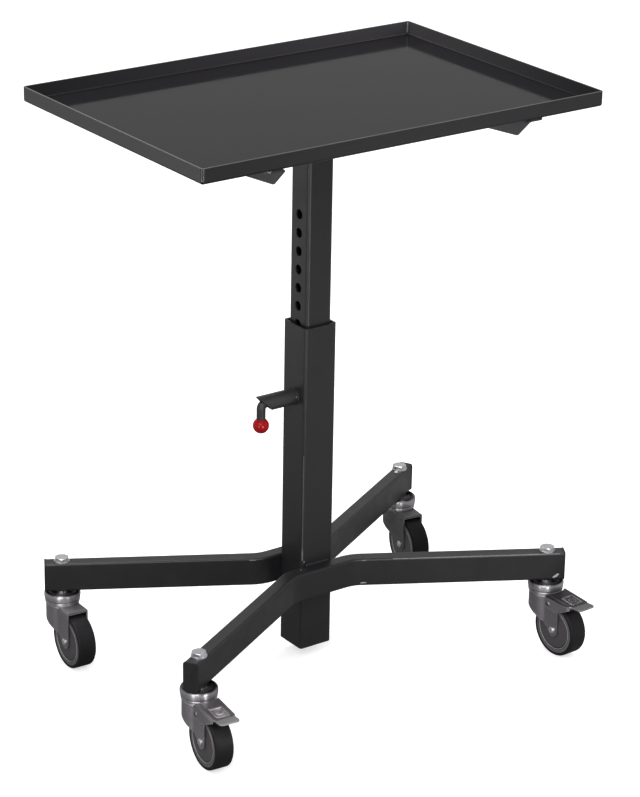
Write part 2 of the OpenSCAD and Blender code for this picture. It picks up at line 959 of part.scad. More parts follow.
// Plan of the channel: its bends are cut back towards the lip
module pedal_plan() {
    wide = pedal_half + 1;
    tip = pedal_tip_width / 2;
    polygon([[0, -wide], [pedal_end_u - pedal_flange_end, -wide], [pedal_end_u + 1, -tip],
        [pedal_end_u + 1, tip], [pedal_end_u - pedal_flange_end, wide], [0, wide]]);
}

// Side view of the lip, which rises a little from the end of the channel
module pedal_lip() {
    t = pedal_sheet;
    polygon([[pedal_end_u - 2, pedal_end_z + 0.1], [pedal_end_u - 2, pedal_end_z + 0.1 - t],
        [pedal_end_u, pedal_end_z - t], [pedal_tip + 1, pedal_lip_z - t], [pedal_tip + 1, pedal_lip_z],
        [pedal_end_u, pedal_end_z]]);
}

module across(half) {
    rotate([90, 0, 0])
        translate([0, 0, -half])
            linear_extrude(2 * half)
                children();
}

module brake_pedal() {
    half = pedal_half + 1;
    lip_run = 40;
    color([0.55, 0.55, 0.57])
        difference() {
            union() {
                difference() {
                    intersection() {
                        pedal_channel();
                        across(half)
                            pedal_side();
                        linear_extrude(2 * caster_height)
                            pedal_plan();
                    }
                    translate([0, 0, fork_top + 1])
                        cylinder(r = pedal_notch_r, h = caster_height);
                }
                intersection() {
                    across(half)
                        pedal_lip();
                    translate([pedal_tip - lip_run / 2, 0, 0])
                        linear_extrude(2 * caster_height)
                            rounded_rect(lip_run, pedal_tip_width, 5);
                }
                pedal_emboss();
            }
            translate([pivot_u, 0, pivot_z])
                rotate([90, 0, 0])
                    cylinder(r = pivot_r + fit_clearance, h = 4 * half, center = true);
        }
}

// Plain raised grip pattern: one disc between two bars
module pedal_emboss() {
    back = 14;
    translate([pedal_end_u - back, 0, pedal_end_z + back * tan(pedal_fall)])
        rotate([0, pedal_fall, 0])
            translate([0, 0, -0.5]) {
                cylinder(r = 5, h = boss_height + 0.5);
                for (x = [-11, 9])
                    translate([x - 1.2, -9, 0])
                        cube([2.4, 18, boss_height + 0.5]);
            }
}

// Two short rivets, one through each cheek, with their heads outside the pedal's flanges
module pedal_rivets() {
    color([0.7, 0.71, 0.73])
        translate([pivot_u, 0, pivot_z])
            rotate([90, 0, 0])
                for (s = [0, 1])
                    mirror([0, 0, s]) {
                        translate([0, 0, cheek_inner])
                            cylinder(r = pivot_r, h = pedal_half + 0.2 - cheek_inner);
                        translate([0, 0, pedal_half + 0.1])
                            cylinder(r1 = pivot_head_r, r2 = pivot_head_r - 1, h = 0.9);
                    }
}

// Block under the pedal whose face fits the tyre once the pedal is down
module brake_shoe() {
    arm = [trail - pivot_u, wheel_r - pivot_z];
    c = cos(pedal_angle);
    s = sin(pedal_angle);
    wheel_seen = [pivot_u + arm[0] * c - arm[1] * s, pivot_z + arm[1] * c + arm[0] * s];
    color([0.16, 0.16, 0.17])
        across(shoe_half)
            difference() {
                polygon([[shoe_from, pivot_z - 6], [shoe_to, pivot_z - 6], [shoe_to, pedal_under(shoe_to)],
                    [shoe_from, pedal_under(shoe_from)]]);
                translate(wheel_seen)
                    circle(r = wheel_r + shoe_gap, $fn = 180);
            }
}

function pedal_under(u) =
    pedal_root_z - (u - pedal_root_u) * tan(pedal_fall) - pedal_sheet / cos(pedal_fall);

// The four casters, piece by piece

module near_cup() { at_caster(0) caster_cup(); }
module near_ring() { at_caster(0) caster_ring(); }
module near_fork() { at_caster(0) caster_fork(true); }
module near_axle() { at_caster(0) caster_axle(); }
module near_sleeve() { at_caster(0) caster_sleeve(); }
module near_core() { at_caster(0) wheel_core(); }
module near_tyre() { at_caster(0) wheel_tyre(); }
module near_guards() { at_caster(0) wheel_guards(); }
module near_pedal() { at_caster(0) brake_pedal(); }
module near_rivets() { at_caster(0) pedal_rivets(); }
module near_shoe() { at_caster(0) brake_shoe(); }

module right_cup() { at_caster(1) caster_cup(); }
module right_ring() { at_caster(1) caster_ring(); }
module right_fork() { at_caster(1) caster_fork(true); }
module right_axle() { at_caster(1) caster_axle(); }
module right_sleeve() { at_caster(1) caster_sleeve(); }
module right_core() { at_caster(1) wheel_core(); }
module right_tyre() { at_caster(1) wheel_tyre(); }
module right_guards() { at_caster(1) wheel_guards(); }
module right_pedal() { at_caster(1) brake_pedal(); }
module right_rivets() { at_caster(1) pedal_rivets(); }
module right_shoe() { at_caster(1) brake_shoe(); }

module left_cup() { at_caster(2) caster_cup(); }
module left_ring() { at_caster(2) caster_ring(); }
module left_fork() { at_caster(2) caster_fork(false); }
module left_axle() { at_caster(2) caster_axle(); }
module left_sleeve() { at_caster(2) caster_sleeve(); }
module left_core() { at_caster(2) wheel_core(); }
module left_tyre() { at_caster(2) wheel_tyre(); }
module left_guards() { at_caster(2) wheel_guards(); }

module back_cup() { at_caster(3) caster_cup(); }
module back_ring() { at_caster(3) caster_ring(); }
module back_fork() { at_caster(3) caster_fork(false); }
module back_axle() { at_caster(3) caster_axle(); }
module back_sleeve() { at_caster(3) caster_sleeve(); }
module back_core() { at_caster(3) wheel_core(); }
module back_tyre() { at_caster(3) wheel_tyre(); }
module back_guards() { at_caster(3) wheel_guards(); }

tray();
arm_left();
arm_right();
support_beam();
inner_post();
outer_post();
upper_guide();
lower_guide();
front_leg();
rear_leg();
leg_caps();
caster_bolts();
caster_washers();
latch_sleeve();
latch_bush();
latch_collar();
latch_spring();
latch_lever();
lever_ball();
near_cup();
near_ring();
near_fork();
near_axle();
near_sleeve();
near_core();
near_tyre();
near_guards();
near_pedal();
near_rivets();
near_shoe();
right_cup();
right_ring();
right_fork();
right_axle();
right_sleeve();
right_core();
right_tyre();
right_guards();
right_pedal();
right_rivets();
right_shoe();
left_cup();
left_ring();
left_fork();
left_axle();
left_sleeve();
left_core();
left_tyre();
left_guards();
back_cup();
back_ring();
back_fork();
back_axle();
back_sleeve();
back_core();
back_tyre();
back_guards();
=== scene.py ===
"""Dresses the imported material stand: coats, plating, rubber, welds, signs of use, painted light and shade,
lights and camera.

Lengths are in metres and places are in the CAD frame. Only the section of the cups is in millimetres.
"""
import json
import math
import random

import bmesh
import bpy
from mathutils import Matrix, Vector


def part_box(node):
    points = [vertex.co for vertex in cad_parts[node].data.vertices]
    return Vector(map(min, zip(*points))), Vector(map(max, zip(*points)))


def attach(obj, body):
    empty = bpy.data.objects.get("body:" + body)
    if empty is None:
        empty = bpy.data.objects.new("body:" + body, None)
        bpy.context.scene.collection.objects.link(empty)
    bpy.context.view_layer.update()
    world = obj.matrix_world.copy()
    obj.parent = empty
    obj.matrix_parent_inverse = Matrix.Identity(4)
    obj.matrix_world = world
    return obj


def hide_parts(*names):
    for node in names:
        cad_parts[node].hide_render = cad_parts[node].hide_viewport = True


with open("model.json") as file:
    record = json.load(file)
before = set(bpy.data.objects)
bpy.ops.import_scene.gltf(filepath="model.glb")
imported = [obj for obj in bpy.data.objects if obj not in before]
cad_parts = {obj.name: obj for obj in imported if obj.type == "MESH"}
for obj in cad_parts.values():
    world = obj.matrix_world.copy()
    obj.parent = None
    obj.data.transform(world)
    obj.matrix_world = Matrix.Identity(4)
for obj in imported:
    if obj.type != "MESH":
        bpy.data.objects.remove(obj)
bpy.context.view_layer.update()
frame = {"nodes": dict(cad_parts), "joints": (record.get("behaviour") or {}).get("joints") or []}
nodes = frame["nodes"]
joints = {joint["name"]: joint for joint in frame["joints"]}
scene = bpy.context.scene
rng = random.Random(7)

CASTERS = ("near", "right", "left", "back")
BRAKED = ("near", "right")

# The tray: half its outside length and width, its heights, and half of the box that it holds
TRAY_X, TRAY_Y, RIM_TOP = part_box("tray")[1]
TRAY_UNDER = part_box("tray")[0].z
TRAY_FLOOR = TRAY_UNDER + 0.002
BOX_X, BOX_Y = 0.3, 0.2

# Half the side of each post, the lowest and highest face of the legs, and the height of the locking pin
OUTER_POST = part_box("outer_post")[1].x
INNER_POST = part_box("inner_post")[1].x
LEG_LOW, LEG_HIGH = 0.100, 0.140
PIN_HEIGHT = joints["lever_turn"]["pos_m"][2]

# Heights on a swivel head, of the lip's upper edge and of the crown
LIP_TOP, CROWN = 0.0866, 0.0982

# The pedals' top sheet, by height, and on Y: where the scuffed middle with its painted light and shade
# begins and ends, and where the lip begins
PEDAL_TOP = 0.083
MIDDLE_BEGIN, MIDDLE_END, PEDAL_LIP = -0.206, -0.233, -0.2345


# Materials

def shade(color, times, plus=0.0, most=math.inf):
    """A colour made darker or paler."""
    return tuple(min(most, c * times + plus) for c in color)


class Wiring:
    """Adds nodes to a node tree and links them."""

    def __init__(self, tree):
        self.tree = tree

    def link(self, source, target):
        self.tree.links.new(source, target)

    def node(self, kind, sockets=None, **settings):
        """A new node. For each input, by name or number, sockets has a value or the output that feeds it."""
        new = self.tree.nodes.new(kind)
        for name, value in settings.items():
            setattr(new, name, value)
        for key, value in (sockets or {}).items():
            if isinstance(value, bpy.types.NodeSocket):
                self.link(value, new.inputs[key])
            else:
                new.inputs[key].default_value = value
        return new

    def band(self, value, low, high, to_low=0.0, to_high=1.0):
        """Maps low..high onto to_low..to_high and stays within them."""
        sockets = {"Value": value, "From Min": low, "From Max": high, "To Min": to_low, "To Max": to_high}
        return self.node("ShaderNodeMapRange", sockets).outputs["Result"]

    def both(self, first, second):
        """The product, which is 1 where both are 1."""
        return self.node("ShaderNodeMath", {0: first, 1: second}, operation="MULTIPLY").outputs[0]


class Paint(Wiring):
    """A material that is built up layer by layer."""

    def __init__(self, name, color, rough, metal=0.0, spec=0.5):
        self.material = bpy.data.materials.new(name)
        self.material.use_nodes = True
        super().__init__(self.material.node_tree)
        self.shader = self.tree.nodes["Principled BSDF"]
        self.shader.inputs["Base Color"].default_value = (*color, 1)
        self.shader.inputs["Roughness"].default_value = rough
        self.shader.inputs["Metallic"].default_value = metal
        self.shader.inputs["Specular IOR Level"].default_value = spec
        self.coords = self.node("ShaderNodeTexCoord").outputs["Object"]
        self.normal = None

    def noise(self, scale, detail=3.0, rough=0.55, stretch=None):
        """A noise from 0 to 1, denser along an axis whose stretch is over 1."""
        source = self.coords
        if stretch:
            source = self.node("ShaderNodeMapping", {"Vector": source, "Scale": stretch}).outputs["Vector"]
        sockets = {"Vector": source, "Scale": scale, "Detail": detail, "Roughness": rough}
        return self.node("ShaderNodeTexNoise", sockets).outputs["Fac"]

    def place(self, axis, low, high, to_low=0.0, to_high=1.0):
        """A ramp along one axis of the object."""
        parts = self.node("ShaderNodeSeparateXYZ", {0: self.coords})
        return self.band(parts.outputs[axis], low, high, to_low, to_high)

    def tint(self, amount, color):
        """Where amount is 1 the base colour becomes color."""
        base = self.shader.inputs["Base Color"]
        under = base.links[0].from_socket if base.is_linked else base.default_value
        mix = self.node("ShaderNodeMix", {0: amount, 6: under, 7: (*color, 1)}, data_type="RGBA")
        self.link(mix.outputs[2], base)

    def patches(self, color, amount, grain, low, high):
        """Irregular patches of another colour, where the grain is over low."""
        self.tint(self.band(grain, low, high, 0.0, amount), color)

    def soft_edges(self, radius):
        """Sharp edges catch the light as if they were rounded by this radius."""
        self.normal = self.node("ShaderNodeBevel", {"Radius": radius}, samples=4).outputs["Normal"]

    def edges(self, color, radius, amount):
        """A paler line along sharp edges, where a coat thins or metal is polished by handling, and which is
        also a painted highlight where an edge catches the light.
        """
        rounded = self.node("ShaderNodeBevel", {"Radius": radius}, samples=4).outputs["Normal"]
        real = self.node("ShaderNodeNewGeometry").outputs["Normal"]
        alike = self.node("ShaderNodeVectorMath", {0: rounded, 1: real}, operation="DOT_PRODUCT")
        on_edge = self.band(alike.outputs["Value"], 0.998, 0.92, 0.0, amount)
        self.tint(self.both(on_edge, self.band(self.noise(180), 0.28, 0.52)), color)

    def rough(self, grain, low, high):
        """Roughness between low and high, by the grain."""
        self.link(self.band(grain, 0.3, 0.7, low, high), self.shader.inputs["Roughness"])

    def bump(self, grain, depth, strength):
        """A relief of this depth on top of the reliefs before it."""
        sockets = {"Height": grain, "Distance": depth, "Strength": strength}
        if self.normal is not None:
            sockets["Normal"] = self.normal
        self.normal = self.node("ShaderNodeBump", sockets).outputs["Normal"]

    def done(self):
        """Wires the relief, and gives the material."""
        if self.normal is not None:
            self.link(self.normal, self.shader.inputs["Normal"])
        return self.material


def powder(name, color, rough, peel, edge_wear_and_sheen=0.35):
    """Powder coat with a fine orange peel, paler in patches and along worn edges."""
    p = Paint(name, color, rough)
    p.soft_edges(0.0009)
    p.patches(shade(color, 1.35, 0.002), 0.35, p.noise(9, 4), 0.35, 0.75)
    p.edges(shade(color, 2.2, 0.01), 0.0012, edge_wear_and_sheen)
    p.patches(shade(color, 1.7, 0.004), 0.18, p.noise(60, 5, 0.7), 0.66, 0.78)
    p.rough(p.noise(35, 4), rough - 0.05, rough + 0.07)
    p.bump(p.noise(700, 2, 0.5), peel, 0.5)
    p.bump(p.noise(240, 2, 0.5), peel * 2, 0.35)
    return p.done()


def plated(name, color, rough, edge_wear_and_sheen=0.3, dull=(0.2, 0.2, 0.21), edge=0.0007):
    """Plated steel with dull patches, dark specks and paler edges, which are polished and partly painted
    highlight.
    """
    p = Paint(name, color, rough, metal=1.0)
    p.patches(dull, 0.45, p.noise(55, 5, 0.65), 0.5, 0.78)
    p.patches(shade(color, 0.62), 0.25, p.noise(420, 3, 0.6), 0.55, 0.75)
    p.edges(shade(color, 1.5, 0.26, 0.9), edge, edge_wear_and_sheen)
    p.rough(p.noise(130, 5, 0.7), rough - 0.08, rough + 0.14)
    p.bump(p.noise(900, 3, 0.6), 0.00003, 0.4)
    return p.done()


def pressed(name, color, dull, rough=0.42, edge_wear_and_sheen=1.0):
    """Plated sheet of the forks, whose bent edges are paler more widely, a painted highlight as well as
    polish.
    """
    return plated(name, color, rough, edge_wear_and_sheen, dull, edge=0.0011)


def turned(name, color, rough, spread):
    """Polished round the caster's axis, so highlights run up and down. The crown and the foot of the bead
    are darker, painted shade.
    """
    p = Paint(name, color, rough, metal=1.0)
    p.soft_edges(0.0004)
    p.patches(shade(color, 0.7), 0.3, p.noise(60, 4, 0.6), 0.45, 0.75)
    p.edges(shade(color, 1.3, 0.08), 0.0006, 0.4)
    # Painted shade: the crown under the leg is darker, and so is a band just above the lip, whose own face
    # keeps the plain colour
    p.tint(p.place("Z", CROWN - 0.0018, CROWN), shade(color, 0.2))
    p.tint(p.place("Z", LIP_TOP, LIP_TOP + 0.003, 0.6, 0.0), shade(color, 0.3))
    p.tint(p.place("Z", LIP_TOP, LIP_TOP - 0.0004), color)
    p.rough(p.noise(70, 4, 0.6, stretch=(1, 1, 6)), rough - 0.03, rough + 0.05)
    p.bump(p.noise(500, 2, 0.5, stretch=(1, 1, 5)), 0.00001, 0.3)
    p.shader.inputs["Anisotropic"].default_value = spread
    p.shader.inputs["Anisotropic Rotation"].default_value = 0.25
    around = p.node("ShaderNodeTangent", direction_type="RADIAL", axis="Z")
    p.link(around.outputs["Tangent"], p.shader.inputs["Tangent"])
    return p.done()


def plastic(name, color, rough, grain):
    """Moulded plastic with a fine grain."""
    p = Paint(name, color, rough, spec=0.4)
    p.patches(shade(color, 1.4, 0.005), 0.3, p.noise(40, 4), 0.4, 0.75)
    p.edges(shade(color, 1.8, 0.02), 0.0008, 0.4)
    p.rough(p.noise(120, 4), rough - 0.06, rough + 0.08)
    p.bump(p.noise(1100, 2, 0.5), grain, 0.5)
    return p.done()


def rubber(name, color, spec=0.24):
    """Dusty rubber, scuffed in patches and specks."""
    p = Paint(name, color, 0.55, spec=spec)
    p.patches(shade(color, 2), 0.4, p.noise(26, 5, 0.6), 0.45, 0.75)
    p.patches(shade(color, 3.4), 0.35, p.noise(320, 3, 0.6), 0.62, 0.75)
    p.rough(p.noise(90, 4), 0.48, 0.68)
    p.bump(p.noise(1400, 3, 0.6), 0.00004, 0.6)
    p.bump(p.noise(150, 3, 0.5), 0.00008, 0.4)
    return p.done()


def tray_paint():
    """Smooth coat, glossy on the flat floor. Painted light makes the rim paler: inside, on the walls towards
    the back right corner; outside, on the left and the front faces; and along its top, as highlights on the
    left and the front rims.
    """
    p = Paint("tray_coat", (0.0118, 0.0110, 0.0124), 0.1)
    p.soft_edges(0.0003)
    p.patches((0.0142, 0.0134, 0.0152), 0.3, p.noise(9, 4), 0.35, 0.75)
    # Painted light on the inner walls, paler towards the back right corner
    inside = p.place("Z", TRAY_FLOOR + 0.0002, TRAY_FLOOR + 0.0007)
    behind = p.both(inside, p.place("Y", BOX_Y, BOX_Y + 0.0008))
    p.tint(p.both(behind, p.place("X", -BOX_X, BOX_X, 0.13, 1.0)), (0.07, 0.066, 0.072))
    right_hand = p.both(inside, p.place("X", BOX_X, BOX_X + 0.0008))
    p.tint(p.both(right_hand, p.place("Y", -BOX_Y, BOX_Y, 0.16, 1.0)), (0.076, 0.072, 0.076))
    # Painted light on the left and the front outer faces of the rim
    p.tint(p.place("X", 0.0008 - TRAY_X, 0.0004 - TRAY_X), (0.022, 0.0208, 0.022))
    p.tint(p.place("Y", 0.0008 - TRAY_Y, 0.0004 - TRAY_Y), (0.0165, 0.0156, 0.0168))
    # Painted highlights along the top of the left and the front rims
    rim_top = p.place("Z", RIM_TOP - 0.0006, RIM_TOP - 0.0002)
    p.tint(p.both(rim_top, p.place("X", 0.015 - TRAY_X, 0.003 - TRAY_X, 0.0, 0.8)), (0.11, 0.105, 0.11))
    p.tint(p.both(rim_top, p.place("Y", 0.015 - TRAY_Y, 0.003 - TRAY_Y, 0.0, 0.6)), (0.08, 0.077, 0.08))
    # Paler lines along the edges, wear and painted highlight
    p.edges((0.045, 0.043, 0.045), 0.0011, 0.25)
    p.patches((0.024, 0.0228, 0.0245), 0.12, p.noise(60, 5, 0.7), 0.66, 0.78)
    gloss = p.place("Z", TRAY_FLOOR + 0.0004, TRAY_FLOOR + 0.002, 0.06, 0.5)
    p.link(gloss, p.shader.inputs["Specular IOR Level"])
    p.rough(p.noise(35, 4), 0.06, 0.12)
    p.bump(p.noise(240, 2, 0.5), 0.000004, 0.35)
    return p.done()


def pedal_steel(name, x, side, top, middle_wear_and_light, lip):
    """Pressed sheet, darker on top, with painted light and shade set for each pedal on its top, on its
    middle, which is also scuffed as by shoes, and on its lip. x is the pedal's middle.
    """
    steel = (1, 0.95, 1)
    p = Paint(name, shade(steel, side), 0.4, metal=1.0)
    p.patches(shade(steel, side * 0.65), 0.4, p.noise(55, 5, 0.65), 0.5, 0.78)
    # Painted shade on the top sheet, set for each pedal
    p.tint(p.place("Z", PEDAL_TOP - 0.0002, PEDAL_TOP + 0.0006), shade(steel, top))
    lengthwise = p.both(p.place("Y", MIDDLE_BEGIN, MIDDLE_BEGIN - 0.005),
                        p.place("Y", MIDDLE_END, MIDDLE_END + 0.004))
    crosswise = p.both(p.place("X", x - 0.0105, x - 0.0075), p.place("X", x + 0.01, x + 0.007))
    middle = p.both(p.both(lengthwise, crosswise), p.place("Z", PEDAL_TOP, PEDAL_TOP + 0.0005))
    scuffs = p.band(p.noise(220, 4, 0.7), 0.4, 0.6, 0.25, 1.0)
    # Painted light and shade, set for each pedal, on the scuffed middle and on the lip
    p.tint(p.both(middle, scuffs), shade((1, 0.96, 1), middle_wear_and_light))
    p.tint(p.place("Y", PEDAL_LIP, PEDAL_LIP - 0.003, 0.0, 0.85), shade((1, 0.97, 1), lip))
    # Pale lines along the bent edges, painted highlight
    p.edges((0.9, 0.88, 0.9), 0.0011, 1.0)
    p.rough(p.noise(130, 5, 0.7), 0.32, 0.5)
    p.bump(p.noise(900, 3, 0.6), 0.00003, 0.4)
    return p.done()


def red():
    """Glossy red plastic of the ball, a little mottled."""
    p = Paint("red_knob", (0.48, 0.005, 0.009), 0.17, spec=0.2)
    p.patches((0.34, 0.003, 0.006), 0.35, p.noise(90, 4), 0.45, 0.75)
    p.patches((0.52, 0.02, 0.025), 0.3, p.noise(500), 0.68, 0.8)
    p.rough(p.noise(160, 4), 0.14, 0.26)
    p.bump(p.noise(300), 0.00004, 0.5)
    return p.done()


coat = powder("frame_coat", (0.0165, 0.0150, 0.0170), 0.36, 0.00003)
tray_coat = tray_paint()
# A paler coat on the tray's corner welds, a painted glint
corner_glint_coat = powder("corner_glint_coat", (0.05, 0.048, 0.052), 0.22, 0.00002, edge_wear_and_sheen=0.5)
# A pale coat for painted glints and highlights on edges, bends and a corner
glint_coat = powder("glint_coat", (0.2, 0.195, 0.2), 0.25, 0.00001, edge_wear_and_sheen=0.5)
# Paler than the frame's coat, with painted light that stands in for the highlight on the sleeve's top
sleeve_coat = powder("sleeve_coat", (0.037, 0.035, 0.0375), 0.34, 0.00003)
# A paler coat for a painted highlight along the post's edge
edge_coat = powder("edge_coat", (0.085, 0.081, 0.085), 0.35, 0.00001, edge_wear_and_sheen=0.4)
# A pale coat for the bright flakes on the frame, one of them a painted glint
bright_flake = powder("bright_flake_coat", (0.62, 0.6, 0.61), 0.35, 0.00002, edge_wear_and_sheen=0.3)
lever_coat = powder("lever_coat", (0.0218, 0.0206, 0.0222), 0.4, 0.00003, edge_wear_and_sheen=0.6)
weld_coat = powder("weld_coat", (0.0125, 0.0115, 0.0128), 0.42, 0.00004, edge_wear_and_sheen=0.1)
zinc = plated("zinc_bolt", (0.72, 0.73, 0.75), 0.3, edge_wear_and_sheen=0.5, dull=(0.42, 0.42, 0.44))
head = turned("zinc_head", (0.47, 0.455, 0.475), 0.36, 0.85)
# Lit and shaded copies of the fork's plating, one for each caster: the near fork is palest and the back one
# darkest, in painted shade. The pedals' rivets also get the darkest copy, so that they stay dark
fork = pressed("zinc_fork", (0.385, 0.364, 0.385), (0.29, 0.273, 0.29))
fork_right = pressed("zinc_fork_right", (0.29, 0.274, 0.29), (0.18, 0.17, 0.18))
fork_left = pressed("zinc_fork_left", (0.34, 0.322, 0.344), (0.24, 0.227, 0.24))
fork_shaded = pressed("zinc_fork_shaded", (0.17, 0.165, 0.165), (0.11, 0.106, 0.106), 0.45, 0.8)
grip = plated("pedal_grip", (0.42, 0.4, 0.42), 0.36, edge_wear_and_sheen=0.5, dull=(0.2, 0.19, 0.2))
# Lit and shaded copies: the near pedal gets painted light on its middle and lip, the right one painted shade
# on its top
pedals = {"near": pedal_steel("pedal_steel_near", -0.287, 0.36, 0.27, 0.72, 0.7),
          "right": pedal_steel("pedal_steel_right", 0.285, 0.34, 0.075, 0.11, 0.24)}
axle = plated("axle_zinc", (0.7, 0.7, 0.72), 0.25, edge_wear_and_sheen=0.5, dull=(0.4, 0.4, 0.42))
latch = plated("latch_steel", (0.5, 0.5, 0.52), 0.35)
bronze = plated("bronze", (0.55, 0.42, 0.2), 0.4, dull=(0.3, 0.22, 0.1))
cap = plastic("cap_black", (0.009, 0.0083, 0.009), 0.45, 0.00003)
core = plastic("core_grey", (0.15, 0.141, 0.15), 0.42, 0.00003)
guard = plastic("guard_grey", (0.085, 0.079, 0.084), 0.4, 0.00003)
# Painted glint and painted shade for the thin rings on the wheels
hoop_glint = plastic("hoop_glint", (0.5, 0.48, 0.5), 0.25, 0.00001)
hoop_shade = plastic("hoop_shade_dark", (0.012, 0.011, 0.012), 0.5, 0.00001)
tyre = rubber("tyre_black", (0.0108, 0.0096, 0.0111))
# A darker copy of the tyre for the back caster, painted shade
tyre_shade = rubber("tyre_shade", (0.0065, 0.0059, 0.0067), 0.1)
shoe = rubber("shoe_black", (0.011, 0.0105, 0.011))
red_knob = red()

# What each CAD node is made of. Those that aren't named have the frame's coat
finish = {"tray": tray_coat, "latch_sleeve": sleeve_coat, "latch_lever": lever_coat, "latch_bush": bronze,
          "latch_collar": latch, "latch_spring": latch, "lever_ball": red_knob, "leg_caps": cap,
          "upper_guide": cap, "lower_guide": cap, "caster_bolts": zinc, "caster_washers": zinc}
for k in CASTERS:
    finish.update({f"{k}_cup": head, f"{k}_ring": head, f"{k}_fork": fork, f"{k}_axle": axle,
                   f"{k}_sleeve": axle, f"{k}_core": core, f"{k}_tyre": tyre, f"{k}_guards": guard})
# Painted shade: the back caster's fork and tyre, and the right and left forks, are darker copies
finish.update(back_fork=fork_shaded, back_tyre=tyre_shade, right_fork=fork_right, left_fork=fork_left)
for k in BRAKED:
    finish.update({f"{k}_pedal": pedals[k], f"{k}_rivets": fork_shaded, f"{k}_shoe": shoe})
for name, o in nodes.items():
    material = finish.get(name, coat)
    if not o.data.materials:
        o.data.materials.append(material)
    for material_slot in o.material_slots:
        material_slot.link = "OBJECT"
        material_slot.material = material


# Meshes. A bead's rings, ripples and ends are shares of its radius

RING_STEP, RIPPLE, BEAD_END, BEAD_SIDES = 0.16, 1.1, 0.9, 10


def turn(count):
    """Equal steps round a full turn, in radians."""
    return [2 * math.pi * i / count for i in range(count)]


def loft(name, rings, body, mat, closed=False, smooth=True):
    """A piece skinned over rings of points, whose ends are capped or, where it is closed, joined."""
    bm = bmesh.new()
    rows = [[bm.verts.new(point) for point in ring] for ring in rings]
    if closed:
        rows.append(rows[0])
    for a, b in zip(rows, rows[1:]):
        for i in range(len(a)):
            after = (i + 1) % len(a)
            bm.faces.new((a[i], a[after], b[after], b[i]))
    if not closed:
        bm.faces.new(rows[0][::-1])
        bm.faces.new(rows[-1])
    bmesh.ops.recalc_face_normals(bm, faces=bm.faces)
    mesh = bpy.data.meshes.new(name)
    bm.to_mesh(mesh)
    bm.free()
    for face in mesh.polygons:
        face.use_smooth = smooth
    o = bpy.data.objects.new(name, mesh)
    scene.collection.objects.link(o)
    mesh.materials.append(mat)
    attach(o, body)
    return o


def walk(points, distance):
    """The place and the direction at a distance along a line of points."""
    for a, b in zip(points, points[1:]):
        length = (b - a).length
        if distance <= length + 1e-12:
            break
        distance -= length
    along = (b - a).normalized()
    return a + along * min(distance, length), along


def bead(name, points, radius, body, normal, mat=weld_coat, flat=0.6):
    """A rippled weld along the points, half sunk, with its crown towards normal."""
    points = [Vector(point) for point in points]
    total = sum((b - a).length for a, b in zip(points, points[1:]))
    count = max(8, int(total / (radius * RING_STEP)))
    normal = Vector(normal).normalized()
    rings = []
    for i in range(count + 1):
        distance = total * i / count
        place, along = walk(points, distance)
        side = along.cross(normal).normalized()
        up = side.cross(along).normalized()
        phase = (distance / (radius * RIPPLE)) % 1.0
        swell = 0.86 + 0.16 * (1 - phase) ** 0.6 + rng.uniform(-0.015, 0.015)
        from_end = max(0.0, min(distance, total - distance))
        reach = radius * swell * min(1.0, math.sqrt(from_end / (radius * BEAD_END)) + 0.15)
        rings.append([place + side * math.cos(t) * reach + up * math.sin(t) * reach * flat
                      for t in turn(BEAD_SIDES)])
    return loft(name, rings, body, mat)


# Welds of the legs and the sleeve on the outer post

LEG_WELD, LEG_WELD_HALF = 0.0019, 0.019
SIDE_WELD, SIDE_WELD_X, SIDE_WELD_Y, SIDE_WELD_INSET = 0.0018, 0.0222, 0.0248, 0.002
SLEEVE_WELD, SLEEVE_RING = 0.0013, 0.0112


def leg_welds(label, sy):
    """Beads above, below and beside the end of a leg. sy is -1 in front of the post and 1 behind it."""
    for edge, z, up in (("top", LEG_HIGH, 0.7), ("low", LEG_LOW, -0.7)):
        ends = [(-LEG_WELD_HALF, sy * OUTER_POST, z), (LEG_WELD_HALF, sy * OUTER_POST, z)]
        bead(f"weld_{label}_{edge}", ends, LEG_WELD, "base", (0, sy * 0.7, up))
    for side, sx in (("left", -1), ("right", 1)):
        x, y = sx * SIDE_WELD_X, sy * SIDE_WELD_Y
        ends = [(x, y, LEG_LOW + SIDE_WELD_INSET), (x, y, LEG_HIGH - SIDE_WELD_INSET)]
        bead(f"weld_{label}_{side}", ends, SIDE_WELD, "base", (sx, 0, 0))


leg_welds("front", -1)
leg_welds("rear", 1)
x = -OUTER_POST - 0.0002
sleeve_ring = [(x, SLEEVE_RING * math.cos(t), PIN_HEIGHT + SLEEVE_RING * math.sin(t))
               for t in turn(48) + [2 * math.pi]]
bead("weld_sleeve", sleeve_ring, SLEEVE_WELD, "base", (-1, 0, 0))

# Welds of the tray: its corners, its arms, and the beam that joins them under the inner post

CORNER_WELD, CORNER_INSET, GLINT_INSET = 0.0011, 0.0025, 0.0054
ARM_WELD, ARM_WELD_HALF, ARM_EDGE, ARM_WELD_PLACES = 0.002, 0.016, 0.1848, (-0.16, -0.06, 0.06, 0.16)
BEAM_WELD, BEAM_END, BEAM_HALF, BEAM_UNDER = 0.0022, 0.185, 0.02, 0.731
HEAD_WELD_HALF = 0.015
# The corner welds have a paler coat, a painted glint
for i, (sx, sy) in enumerate(((-1, -1), (1, -1), (-1, 1), (1, 1))):
    x, y = sx * (TRAY_X - CORNER_INSET), sy * (TRAY_Y - CORNER_INSET)
    ends = [(x, y, TRAY_FLOOR + 0.0005), (x, y, RIM_TOP - 0.0015)]
    bead(f"weld_tray_corner_{i}", ends, CORNER_WELD, "upper", (-sx, -sy, 0), corner_glint_coat)
